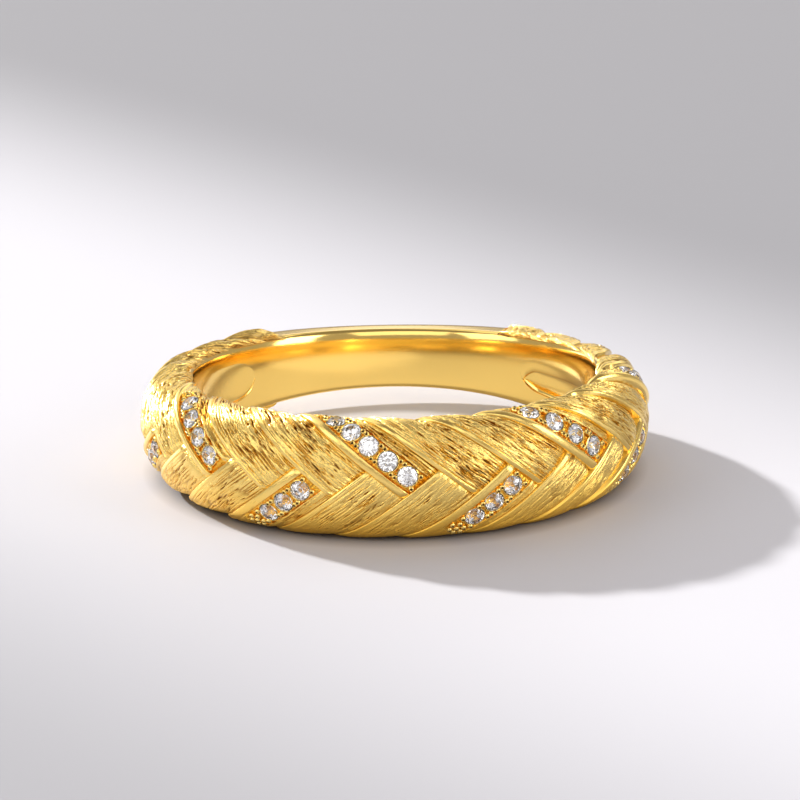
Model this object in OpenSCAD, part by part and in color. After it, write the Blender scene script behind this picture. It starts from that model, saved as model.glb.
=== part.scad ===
// Braided band ring, in millimetres.
// The finger hole runs along Z, with the origin in its middle. The front of the ring faces -Y.
// Angles round the ring start at the front and grow toward +X.
// "Arc" is the way over the outside of the band, across it, from the middle of the front section.

/* [Finger hole] */
// Diameter of the finger hole
bore_d = 17.3; // [15:0.1:21]

/* [Band] */
// Width of the band at the front, measured along the finger
front_w = 5; // [4.4:0.02:6]
// Width of the band at its left side, seen from the front
left_w = 4.2; // [3.8:0.02:5.4]
// Width of the band at its right side
right_w = 4.5; // [3.8:0.02:5.4]
// Width of the shank at the back
back_w = 2.75; // [2.2:0.05:3.6]
// Thickness of the wall at the front
front_t = 2.38; // [2.1:0.02:3]
// Thickness of the wall at the two sides
side_t = 2.35; // [2:0.02:3]
// Thickness of the shank at the back
back_t = 1.5; // [1.2:0.02:2]
// Depth from the finger hole to the widest line of the section
edge_depth = 0.85; // [0.6:0.05:1]
// Roundness of the crown: 2 is an ellipse, more is squarer
crown_round = 2.17; // [2:0.05:3]
// Roundness of the inner wall's edges
wall_round = 2.98; // [2.4:0.02:4]
// Roundness of the shank
shank_round = 5; // [3:0.1:6]

/* [Braid] */
// Distance between two plaits of one row, round the crown
plait_pitch = 3; // [2.7:0.05:3.6]
// Slope of the plaits against the way round the ring
plait_slope = 38.5; // [35:0.5:44]
// Angle from the front to the tip of the first plait
first_tip = 1.5; // [-6:0.5:6]
// How far the braid's midline lies above the middle of the band
midline_rise = 0.1; // [-0.3:0.05:0.3]
// Angle from the front to the braid's end on the left
braid_left = 145; // [130:1:150]
// Angle from the front to the braid's end on the right
braid_right = 147; // [130:1:150]
// Length over which the relief runs out at the braid's ends
fade_l = 0.8; // [0.4:0.1:3]
// Width of the smooth bevel along each plait's leading edge
bevel_w = 0.35; // [0.2:0.01:0.45]
// How far the bevel falls away at the crevice
bevel_h = 0.08; // [0.02:0.01:0.15]
// How deep each plait dives under the next one
dive_h = 0.27; // [0.15:0.01:0.35]
// Width of the rolled end of a plait at the midline
roll_w = 0.3; // [0.2:0.01:0.5]
// How far that end rolls down
roll_h = 0.12; // [0.05:0.01:0.2]
// How far the braid stands over the shank at its ends
end_step = 0.15; // [0:0.01:0.3]
// Length over which the braid rises to that step
step_l = 5; // [2:0.5:8]

/* [Hollow back] */
// Width of the ledge above and below the hollow
ledge_w = 0.85; // [0.6:0.05:1.1]
// Depth of the hollow
hollow_h = 0.9; // [0.4:0.05:1.1]
// Angle from the front to the hollow's end on the left
hollow_left = 133; // [110:0.5:142]
// Angle from the front to the hollow's end on the right
hollow_right = 138.5; // [110:0.5:142]
// Length of the hollow's rounded ends, along the wall
hollow_nose = 1.2; // [0.8:0.1:4]
// Length over which the hollow deepens from its ends
hollow_rise = 4.5; // [2:0.1:8]

/* [Stones] */
// Diameter of a stone
stone_d = 0.82; // [0.7:0.01:0.86]
// Distance between two stones, along their plait
stone_pitch = 1.03; // [1.02:0.01:1.06]
// Clear gap between a stone and its seat
stone_gap = 0.02; // [0.01:0.005:0.04]
// Height of a stone above its girdle
stone_crown_h = 0.13; // [0.08:0.01:0.18]
// Thickness of a stone's girdle
girdle_h = 0.03; // [0.02:0.005:0.05]
// Depth of a stone below its girdle
pavilion_h = 0.34; // [0.25:0.01:0.36]
// Diameter of a stone's table
table_d = 0.46; // [0.36:0.01:0.52]
// How deep the girdles lie below the tops of the plaits
stone_sink = 0.1; // [0.06:0.01:0.14]
// How deep the floor round the stones lies below the tops of the plaits
floor_h = 0.14; // [0.1:0.01:0.2]
// Strip of floor between the bevel and the stones
floor_strip = 0.14; // [0.08:0.01:0.2]
// Distance from a plait's tip to its first stone, along the plait
stone_start = 0.45; // [0.35:0.01:0.6]
// Stones in the upper plait at the front
front_stones = 5; // [3:1:5]
// Stones in the other set plaits of the upper row
upper_stones = 4; // [3:1:4]
// Stones in the set plaits of the lower row
lower_stones = 3; // [3:1:4]

/* [Hidden] */
// Strands are numbered along the ring: even ones show in the upper row, odd ones in the lower row.
// Every third one is set with stones. The columns: strand, stones, and the place of the first
// stone and the distance between two, as shares of stone_start and stone_pitch.
strand_cycle = 3;
set_plaits = [
    [-9, lower_stones, 1, 1],
    [-6, upper_stones, 1.2, 1.04],
    [-3, lower_stones, 1, 1],
    [0, front_stones, 1, 1],
    [3, lower_stones, 1, 1],
    [6, upper_stones, 1.4, 1.16],
    [9, lower_stones, 1, 1],
    [12, upper_stones, 1.2, 1.04]];
first_set = set_plaits[0][0];
last_set = set_plaits[len(set_plaits) - 1][0];
stone_spots = [for (p = set_plaits) for (i = [0:p[1] - 1])
    [p[0], i, stone_start * p[2] + i * stone_pitch * p[3]]];

facets = 8;
step_half = 0.05;
columns_in_face = 5;
crown_steps = 4;
shank_columns = 12;
section_step = 3;
edge_phis = [116, 140];
edge_relief = [0.8, 0.2];
hollow_rows = [[1, 0], [0.72, 0.6], [0, 1], [-0.72, 0.6], [-1, 0]];
nose_depth = 0.12;
nose_width = 0.1;
dive_power = 1.6;
gold = [0.86, 0.66, 0.24];
clear_stone = [0.93, 0.94, 0.96];

bore_r = bore_d / 2;
crown_r = bore_r + front_t;
mm_per_deg = PI * crown_r / 180;
bore_mm_per_deg = PI * bore_r / 180;
spacing = plait_pitch / 2 / mm_per_deg;
lean = 1 / tan(plait_slope) / mm_per_deg;
across_mm = mm_per_deg * sin(plait_slope);
face_w = plait_pitch * sin(plait_slope) - bevel_w;
tip_rise = plait_pitch / 4 * tan(plait_slope);

function is_upper(strand) = strand % 2 == 0;
function is_set(strand) = strand >= first_set && strand <= last_set && strand % strand_cycle == 0;
function ramp(x) = let (u = max(0, min(1, x))) u * u * (3 - 2 * u);
function mix(a, b, share) = a + (b - a) * share;
function super(x, n) = sign(x) * pow(abs(x), 2 / n);

// Sizes of the section at an angle round the ring
function round_the_ring(front, side, back, theta) =
    side + (front - back) / 2 * cos(theta) + ((front + back) / 2 - side) * pow(cos(theta), 2);
function width_at(theta) =
    round_the_ring(front_w, mix(left_w, right_w, (1 + sin(theta)) / 2), back_w, theta);
function thickness_at(theta) = round_the_ring(front_t, side_t, back_t, theta);
function edge_at(theta) = edge_depth * thickness_at(theta) / front_t;
function shankness(theta) = ramp(-1 - 2 * cos(theta));
function crown_n(theta) = mix(crown_round, shank_round, shankness(theta));
function wall_n(theta) = mix(wall_round, shank_round, shankness(theta));

// The bare section: phi is 0 at the crown, 90 at the top edge and 180 at the finger hole.
// Both functions give a distance from the hole's axis and a height.
function section_point(theta, phi) =
    let (n = cos(phi) >= 0 ? crown_n(theta) : wall_n(theta),
         edge = edge_at(theta),
         reach = cos(phi) >= 0 ? thickness_at(theta) - edge : edge)
    [bore_r + edge + reach * super(cos(phi), n), width_at(theta) / 2 * super(sin(phi), n)];
function section_normal(theta, phi) =
    let (n = cos(phi) >= 0 ? crown_n(theta) : wall_n(theta),
         edge = edge_at(theta),
         reach = cos(phi) >= 0 ? thickness_at(theta) - edge : edge,
         out = sign(cos(phi)) * pow(abs(cos(phi)), 2 - 2 / n) / reach,
         up = sign(sin(phi)) * pow(abs(sin(phi)), 2 - 2 / n) / (width_at(theta) / 2))
    [out, up] / norm([out, up]);
function wall_r(theta, z) =
    let (n = wall_n(theta), share = min(1, abs(z) / (width_at(theta) / 2)))
    bore_r + edge_at(theta) * (1 - pow(1 - pow(share, n), 1 / n));
function place(theta, r, z) = [r * sin(theta), -r * cos(theta), z];

// Arc length over the front section, to turn an arc into phi and back
phis = [for (phi = [0:section_step:150]) phi];
section_line = [for (phi = phis) section_point(0, phi)];
function running(line, i) = i == 0 ? 0 : running(line, i - 1) + norm(line[i] - line[i - 1]);
arcs = [for (i = [0:len(phis) - 1]) running(section_line, i)];
function phi_of(arc) = sign(arc) * lookup(abs(arc), [for (i = [0:len(phis) - 1]) [arcs[i], phis[i]]]);
function arc_of(phi) = lookup(phi, [for (i = [0:len(phis) - 1]) [phis[i], arcs[i]]]);
edge_arc = arc_of(90);

// Which strand lies on top at a place, how far across it the place is, and how far from its end.
// Each strand lies on those before it, and its leading edge is the one toward smaller angles.
function strand_at(theta, arc) =
    let (rise = lean * (arc - midline_rise),
         up = theta + rise - first_tip + spacing / 2,
         down = theta - rise - first_tip - spacing / 2,
         ku = floor(up / (2 * spacing)),
         kd = floor(down / (2 * spacing)),
         upper = 2 * ku > 2 * kd + 1,
         across = upper ? up - 2 * spacing * ku : down - 2 * spacing * kd,
         to_end = upper ? 2 * spacing * ku - down : 2 * spacing * (kd + 1) - up)
    [upper ? 2 * ku : 2 * kd + 1, across * across_mm, to_end * across_mm];

// Height of the relief, from 0 at the tops of the plaits down to where they dive
function face_height(strand, across) =
    let (dive = -dive_h * pow(max(0, across - bevel_w) / face_w, dive_power))
    is_set(strand) && across > bevel_w + step_half / 2 ? min(-floor_h, dive) : dive;
function bevel_height(across) = -bevel_h * pow(max(0, 1 - across / bevel_w), 2);
function roll_height(to_end) = -roll_h * pow(max(0, 1 - to_end / roll_w), 2);
function relief(theta, arc) =
    let (s = strand_at(theta, arc))
    face_height(s[0], s[1]) + bevel_height(s[1]) + roll_height(s[2]);
function into_braid(theta) = min(theta + braid_left, braid_right - theta) * mm_per_deg;
function braid_share(theta) = ramp(into_braid(theta) / fade_l);
function braid_lift(theta) = end_step * (1 - ramp(into_braid(theta) / step_l));

// Rows of points across the band: phi, arc and share of the relief, from the lower edge of the
// inner wall over the crown to the upper edge
crown_arcs = concat(
    [for (i = [0:crown_steps - 1]) mix(-edge_arc, midline_rise - tip_rise, i / crown_steps)],
    [for (i = [-2:2]) midline_rise + tip_rise * i / 2],
    [for (i = [1:crown_steps]) mix(midline_rise + tip_rise, edge_arc, i / crown_steps)]);
wall_rows = [for (i = [0:len(edge_phis) - 1]) [edge_phis[i], arc_of(edge_phis[i]), edge_relief[i]]];
surface_rows = concat(
    [for (i = [len(wall_rows) - 1:-1:0]) [-wall_rows[i][0], -wall_rows[i][1], wall_rows[i][2]]],
    [for (arc = crown_arcs) [phi_of(arc), arc, 1]],
    wall_rows);

// Columns of points round the ring follow the plaits' leading edges. Beside the midline, the
// columns of one row of plaits close up where its plaits end under the other row.
closing_turn = 0.85;
closing_fall = 0.8;
closing_least = 0.3;
bevel_room = 0.42;
floor_room = 0.58;
function closing(rise) =
    rise <= 0 ? 0
    : rise < closing_turn ? rise
    : max(closing_least, closing_turn - (rise - closing_turn) * closing_fall);
function face_start(k, upper_row, rise) =
    first_tip + (2 * k + (upper_row ? -0.5 : 0.5)) * spacing
    + spacing * closing(upper_row ? -rise : rise);
function face_column(start, end, member) =
    let (room = (end - start) * across_mm,
         bevel_end = min(bevel_w, room * bevel_room),
         floor_start = min(bevel_w + 2 * step_half, room * floor_room))
    start + (member == 0 ? -step_half
           : member == 1 ? step_half
           : member == 2 ? bevel_end
           : mix(floor_start, room, (member - 3) / (columns_in_face - 3))) / across_mm;
first_period = floor((-braid_left - first_tip) / (2 * spacing));
last_period = floor((braid_right + lean * edge_arc - first_tip) / (2 * spacing));
shank_start = first_tip + (2 * last_period + 1.5) * spacing;
shank_end = first_tip + (2 * first_period - 0.5) * spacing + 360;
columns = concat(
    [for (k = [first_period:last_period]) for (upper_row = [true, false])
     for (m = [0:columns_in_face - 1]) [k, upper_row, m]],
    [for (i = [0:shank_columns - 1]) [undef, i + 0.5]]);
function column_angle(column, rise) =
    is_undef(column[0]) ? mix(shank_start, shank_end, column[1] / shank_columns)
    : let (k = column[0], upper_row = column[1])
      face_column(face_start(k, upper_row, rise),
                  upper_row ? face_start(k, false, rise) : face_start(k + 1, true, rise), column[2]);
function wrapped(theta) = theta > 180 ? theta - 360 : theta;

function surface_point(column, row) =
    let (off = row[1] - midline_rise,
         theta = wrapped(column_angle(column, off / tip_rise) - lean * abs(off)),
         base = section_point(theta, row[0]),
         height = (relief(theta, row[1]) + braid_lift(theta)) * row[2] * braid_share(theta),
         out = section_normal(theta, row[0]) * height)
    place(theta, base[0] + out[0], base[1] + out[1]);

// The hollow behind the braid, rounded off at its ends
function into_hollow(theta) = ((theta < 0 ? hollow_left : hollow_right) - abs(theta)) * bore_mm_per_deg;
function hollow_share(theta) =
    let (left = into_hollow(theta) / hollow_nose)
    left <= 0 ? 0 : left >= 1 ? 1 : sqrt(1 - pow(1 - left, 2));
function hollow_depth(theta) =
    hollow_h * hollow_share(theta) * mix(nose_depth, 1, ramp(into_hollow(theta) / hollow_rise));
function hollow_point(column, row) =
    let (theta = wrapped(column_angle(column, edge_arc / tip_rise) - lean * (edge_arc - midline_rise)),
         z = row[0] * (width_at(theta) / 2 - ledge_w) * max(nose_width, hollow_share(theta)))
    place(theta, wall_r(theta, z) + row[1] * hollow_depth(theta), z);

module body() {
    rows_n = len(surface_rows) + len(hollow_rows);
    cols_n = len(columns);
    points = [for (c = columns) each concat(
        [for (r = surface_rows) surface_point(c, r)],
        [for (r = hollow_rows) hollow_point(c, r)])];
    function at(c, r) = (c % cols_n) * rows_n + r % rows_n;
    polyhedron(points, [for (c = [0:cols_n - 1]) for (r = [0:rows_n - 1])
        each [[at(c, r), at(c, r + 1), at(c + 1, r)], [at(c, r + 1), at(c + 1, r + 1), at(c + 1, r)]]]);
}

// Stones stand in a line along their plait, each square to the band's surface.
function stone_place(strand, along) =
    let (across = bevel_w + floor_strip + stone_d / 2,
         side = is_upper(strand) ? 1 : -1,
         shift = -along * cos(plait_slope) + across * sin(plait_slope),
         climb = -tip_rise + along * sin(plait_slope) + across * cos(plait_slope))
    [first_tip + strand * spacing + shift / mm_per_deg, midline_rise + side * climb];
module on_band(theta, arc, depth) {
    phi = phi_of(arc);
    base = section_point(theta, phi);
    out = section_normal(theta, phi);
    middle = place(theta, base[0] - depth * out[0], base[1] - depth * out[1]);
    normal = place(theta, out[0], out[1]);
    along = [cos(theta), sin(theta), 0];
    over = cross(normal, along);
    multmatrix([for (i = [0:2]) [along[i], over[i], normal[i], middle[i]]]) children();
}

function disc(d, z, turn) =
    [for (i = [0:facets - 1]) let (a = (i + turn) * 360 / facets) [d / 2 * cos(a), d / 2 * sin(a), z]];
module stone_shape() {
    last = facets - 1;
    points = concat(disc(table_d, girdle_h / 2 + stone_crown_h, 0.5), disc(stone_d, girdle_h / 2, 0),
                    disc(stone_d, -girdle_h / 2, 0), [[0, 0, -girdle_h / 2 - pavilion_h]]);
    function at(ring, i) = ring * facets + i % facets;
    polyhedron(points, concat(
        [[for (i = [last:-1:0]) i]],
        [for (i = [0:last]) [at(1, i), at(0, i), at(1, i + 1)]],
        [for (i = [0:last]) [at(0, i), at(0, i + 1), at(1, i + 1)]],
        [for (i = [0:last]) [at(1, i), at(1, i + 1), at(2, i + 1), at(2, i)]],
        [for (i = [0:last]) [at(2, i), at(2, i + 1), 3 * facets]]));
}
module seat_shape() {
    wide = stone_d + 2 * stone_gap / cos(180 / facets);
    hull() {
        translate([0, 0, stone_sink]) cylinder(d = wide, h = stone_crown_h, $fn = facets);
        translate([0, 0, -girdle_h / 2]) cylinder(d = wide, h = girdle_h, $fn = facets);
        translate([0, 0, -girdle_h / 2 - pavilion_h - 2 * stone_gap])
            cylinder(d = stone_gap, h = stone_gap, $fn = facets);
    }
}

module at_spot(spot) {
    middle = stone_place(spot[0], spot[2]);
    on_band(middle[0], middle[1], stone_sink) children();
}
module band() color(gold) difference() {
    body();
    for (spot = stone_spots) at_spot(spot) seat_shape();
}
module stone(spot) color(clear_stone) at_spot(spot) stone_shape();

function stone_name(spot) =
    let (row = is_upper(spot[0]) ? "upper_" : "lower_", plait = (spot[0] - first_set) / strand_cycle + 1)
    str("stone_", row, plait, "_", spot[1] + 1);

band();
for (spot = stone_spots) stone(spot);
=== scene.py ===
"""Looks of the braided band ring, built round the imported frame.

The band is a polished body with one raised piece for each plait of its braid. Every third
strand is set with small brilliant-cut stones. Sizes are in millimetres and degrees until a
mesh is placed, and the finished meshes are in metres, in the frame's own axes.
"""
import logging
import math
from dataclasses import dataclass, field
from enum import Enum
from functools import cached_property

import bpy
import numpy as np
from mathutils import Matrix, Vector


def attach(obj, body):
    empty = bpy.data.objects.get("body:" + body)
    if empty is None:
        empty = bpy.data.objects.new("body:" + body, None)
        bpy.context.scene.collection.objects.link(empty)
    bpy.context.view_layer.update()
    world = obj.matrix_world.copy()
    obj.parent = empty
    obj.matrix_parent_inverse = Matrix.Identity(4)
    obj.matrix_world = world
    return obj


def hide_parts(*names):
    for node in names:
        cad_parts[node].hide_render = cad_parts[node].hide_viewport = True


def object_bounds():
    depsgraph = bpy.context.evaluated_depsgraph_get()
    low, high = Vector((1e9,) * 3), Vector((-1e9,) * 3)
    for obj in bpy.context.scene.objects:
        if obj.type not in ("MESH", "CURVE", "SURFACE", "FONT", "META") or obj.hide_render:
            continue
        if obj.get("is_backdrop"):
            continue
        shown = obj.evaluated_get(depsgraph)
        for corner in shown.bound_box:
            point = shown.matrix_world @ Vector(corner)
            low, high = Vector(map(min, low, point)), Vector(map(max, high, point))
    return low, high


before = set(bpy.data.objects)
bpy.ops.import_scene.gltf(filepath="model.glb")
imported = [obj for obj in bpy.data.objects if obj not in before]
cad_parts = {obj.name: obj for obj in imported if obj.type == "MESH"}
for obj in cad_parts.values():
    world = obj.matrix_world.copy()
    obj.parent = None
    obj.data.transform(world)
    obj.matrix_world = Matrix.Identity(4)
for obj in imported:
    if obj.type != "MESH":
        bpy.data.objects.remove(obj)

LOG = logging.getLogger("ring")
MM = 0.001
BODY = "root"
# Points of a seam that lie closer than this are one point.
SEAM_GAP = 0.0002
# Between these heights the gold turns duller and takes a deeper painted tone, a painted reflection of warm
# gold light low on the ring.
LOW = (-0.4, -2.2)
# No mark goes as deep as this, so gold with these ends has no painted shade in pits.
NO_PITS = (-1.0, -2.0)
WHITE = (1.0, 1.0, 1.0)
BRUSH_SEED = 11
SCRATCH_SEED = 500

Colour = tuple[float, float, float]
Triple = tuple[float, float, float]
Pair = tuple[float, float]
Socket = bpy.types.NodeSocket


class Row(Enum):
    """The row of the braid that a strand shows in."""

    UPPER = 1
    LOWER = -1


class Skin(Enum):
    """Material slots of a plait, in their order."""

    BEVEL = 0
    FACE = 1
    FLOOR = 2


def ramp(share: np.ndarray) -> np.ndarray:
    """Rises smoothly from 0 to 1 while share goes from 0 to 1."""
    u = np.clip(share, 0.0, 1.0)
    return u * u * (3.0 - 2.0 * u)


def rise(value: np.ndarray, start: float, run: float) -> np.ndarray:
    """Rises smoothly from 0 where value is at the start to 1 a run past it."""
    return ramp((value - start) / run)


@dataclass(frozen=True)
class BandShape:
    """The bare band and the layout of its braid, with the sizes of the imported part."""

    bore_d: float = 17.3
    front_w: float = 5.0
    left_w: float = 4.2
    right_w: float = 4.5
    back_w: float = 2.75
    front_t: float = 2.38
    side_t: float = 2.35
    back_t: float = 1.5
    edge_depth: float = 0.85
    crown_round: float = 2.17
    wall_round: float = 2.98
    shank_round: float = 5.0
    shank_wall_round: float = 9.0
    plait_pitch: float = 3.0
    plait_slope: float = 38.5
    first_tip: float = 1.5
    midline_rise: float = 0.1
    braid_left: float = 145.0
    braid_right: float = 147.0
    shank_from: float = 0.5
    behind_sides: Pair = (70.0, 60.0)
    arc_step: float = 0.5
    arc_limit: float = 170.0

    @property
    def bore_r(self) -> float:
        """Radius of the finger hole."""
        return self.bore_d / 2

    @property
    def mm_per_deg(self) -> float:
        """Way round the crown for one degree."""
        return math.pi * (self.bore_r + self.front_t) / 180

    @property
    def spacing(self) -> float:
        """Angle between one strand and the next."""
        return self.plait_pitch / 2 / self.mm_per_deg

    @property
    def tip_rise(self) -> float:
        """Half the height of the zigzag between the two rows."""
        return self.plait_pitch / 4 * math.tan(math.radians(self.plait_slope))

    @property
    def plait_w(self) -> float:
        """Width of a plait, from its leading edge to the next one."""
        return self.plait_pitch * math.sin(math.radians(self.plait_slope))

    @staticmethod
    def round_ring(front: float, side: float, back: float, theta: np.ndarray) -> np.ndarray:
        """A size at an angle round the ring, from its values at the front, side and back."""
        cos = np.cos(np.radians(theta))
        return side + (front - back) / 2 * cos + ((front + back) / 2 - side) * cos ** 2

    def half_w(self, theta: np.ndarray) -> np.ndarray:
        """Half the width of the section.

        Args:
            theta: Angle round the ring.

        Returns:
            The width from the middle to either edge.
        """
        right = (1 + np.sin(np.radians(theta))) / 2
        side_w = self.left_w + (self.right_w - self.left_w) * right
        return self.round_ring(self.front_w, side_w, self.back_w, theta) / 2

    def thickness(self, theta: np.ndarray) -> np.ndarray:
        """Thickness of the section."""
        return self.round_ring(self.front_t, self.side_t, self.back_t, theta)

    def edge(self, theta: np.ndarray) -> np.ndarray:
        """Depth of the section's widest line from the finger hole."""
        return self.edge_depth * self.thickness(theta) / self.front_t

    def roundness(self, theta: np.ndarray, outside: np.ndarray) -> np.ndarray:
        """Exponent of the section's outline: 2 is an ellipse, more is squarer, as on the shank.

        Args:
            theta: Angle round the ring.
            outside: Whether a point lies outside the section's widest line.

        Returns:
            The exponent at each point.
        """
        shank = rise(-np.cos(np.radians(theta)), self.shank_from, 1 - self.shank_from)
        outer = self.crown_round + (self.shank_round - self.crown_round) * shank
        inner = self.wall_round + (self.shank_wall_round - self.wall_round) * self.behind(theta)
        return np.where(outside, outer, inner)

    def behind(self, theta: np.ndarray) -> np.ndarray:
        """Rises from 0 at the sides to 1 at the back."""
        return rise(np.abs(theta), *self.behind_sides)

    def outline(self, theta: np.ndarray, x: np.ndarray, y: np.ndarray) -> tuple[np.ndarray, ...]:
        """Turns a point of the unit outline into the section.

        Args:
            theta: Angle round the ring.
            x: Share of the reach outward, negative toward the finger.
            y: Share of half the width, upward.

        Returns:
            Distance from the axis, height, and the normal's share along each.
        """
        outside = x >= 0
        n = self.roundness(theta, outside)
        edge = self.edge(theta)
        reach = np.where(outside, self.thickness(theta) - edge, edge)
        half_w = self.half_w(theta)
        out_r = np.sign(x) * np.abs(x) ** (n - 1) / reach
        out_z = np.sign(y) * np.abs(y) ** (n - 1) / half_w
        length = np.hypot(out_r, out_z)
        return self.bore_r + edge + reach * x, half_w * y, out_r / length, out_z / length

    def section(self, theta: np.ndarray, phi: np.ndarray) -> tuple[np.ndarray, ...]:
        """Section at the plaits' own angle phi: 0 at the crown, 90 at the edge.

        Args:
            theta: Angle round the ring.
            phi: Angle over the section.

        Returns:
            Distance from the axis, height, and the normal's share along each.
        """
        cos, sin = np.cos(np.radians(phi)), np.sin(np.radians(phi))
        n = self.roundness(theta, cos >= 0)
        x = np.sign(cos) * np.abs(cos) ** (2 / n)
        y = np.sign(sin) * np.abs(sin) ** (2 / n)
        return self.outline(theta, x, y)

    def even_section(self, theta: np.ndarray, psi: np.ndarray) -> tuple[np.ndarray, ...]:
        """Section at a true angle psi, which spaces points evenly on any roundness.

        Args:
            theta: Angle round the ring.
            psi: Angle over the section.

        Returns:
            Distance from the axis, height, and the normal's share along each.
        """
        cos, sin = np.cos(np.radians(psi)), np.sin(np.radians(psi))
        n = self.roundness(theta, cos >= 0)
        size = (np.abs(cos) ** n + np.abs(sin) ** n) ** (-1 / n)
        return self.outline(theta, cos * size, sin * size)

    def wall_r(self, theta: np.ndarray, z: np.ndarray) -> np.ndarray:
        """Distance of the inner wall from the axis, at a height.

        Args:
            theta: Angle round the ring.
            z: Height on the wall.

        Returns:
            The distance, without the hollow.
        """
        n = self.roundness(theta, np.zeros(1) > 0)
        share = np.clip(np.abs(z) / self.half_w(theta), 0, 1)
        return self.bore_r + self.edge(theta) * (1 - (1 - share ** n) ** (1 / n))

    @cached_property
    def arc_table(self) -> tuple[np.ndarray, np.ndarray]:
        """Angles phi over the front section, and the way over the surface to each.

        Returns:
            The angles and the ways from the crown.
        """
        phis = np.arange(0, self.arc_limit, self.arc_step)
        r, z, _, _ = self.section(np.zeros_like(phis), phis)
        steps = np.hypot(np.diff(r), np.diff(z))
        return phis, np.concatenate([[0], np.cumsum(steps)])

    def phi_of(self, arc: np.ndarray) -> np.ndarray:
        """The angle phi at a way over the surface from the crown."""
        phis, arcs = self.arc_table
        return np.sign(arc) * np.interp(np.abs(arc), arcs, phis)

    def arc_of(self, phi: float) -> float:
        """The way over the surface from the crown to an angle phi."""
        phis, arcs = self.arc_table
        return float(np.interp(phi, phis, arcs))

    @staticmethod
    def place(theta: np.ndarray, r: np.ndarray, z: np.ndarray) -> np.ndarray:
        """Points in metres, from the angle, the distance from the axis and the height."""
        turn = np.radians(theta)
        return np.stack([r * np.sin(turn), -r * np.cos(turn), z + 0 * r], axis=-1) * MM


@dataclass(frozen=True)
class Strokes:
    """One random field: its pitch along and across a plait, and its layer."""

    along: float
    across: float
    layer: float = 0.0


class Grain:
    """Smooth random fields, the same on each run."""

    layer_shift: Pair = (17.31, 29.77)

    def __init__(self, seed: int = BRUSH_SEED, size: int = 256) -> None:
        """Draws the table of random values once."""
        self.size = size
        self.values = np.random.default_rng(seed).uniform(-1, 1, (size, size))

    def at(self, i: np.ndarray, j: np.ndarray) -> np.ndarray:
        """Values of the table, which repeats both ways."""
        return self.values[i % self.size, j % self.size]

    def field(self, x: np.ndarray, y: np.ndarray, strokes: Strokes, layer: float) -> np.ndarray:
        """A smooth field between -1 and 1.

        Args:
            x: First coordinate of each point.
            y: Second coordinate of each point.
            strokes: Pitch and layer of the field.
            layer: Number that picks another part of the table for each strand.

        Returns:
            The field at each point.
        """
        u = x / strokes.along + self.layer_shift[0] * (layer + strokes.layer)
        v = y / strokes.across + self.layer_shift[1] * (layer + strokes.layer)
        iu, iv = np.floor(u).astype(int), np.floor(v).astype(int)
        su, sv = ramp(u - iu), ramp(v - iv)
        low = self.at(iu, iv) * (1 - su) + self.at(iu + 1, iv) * su
        high = self.at(iu, iv + 1) * (1 - su) + self.at(iu + 1, iv + 1) * su
        return low * (1 - sv) + high * sv


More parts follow.
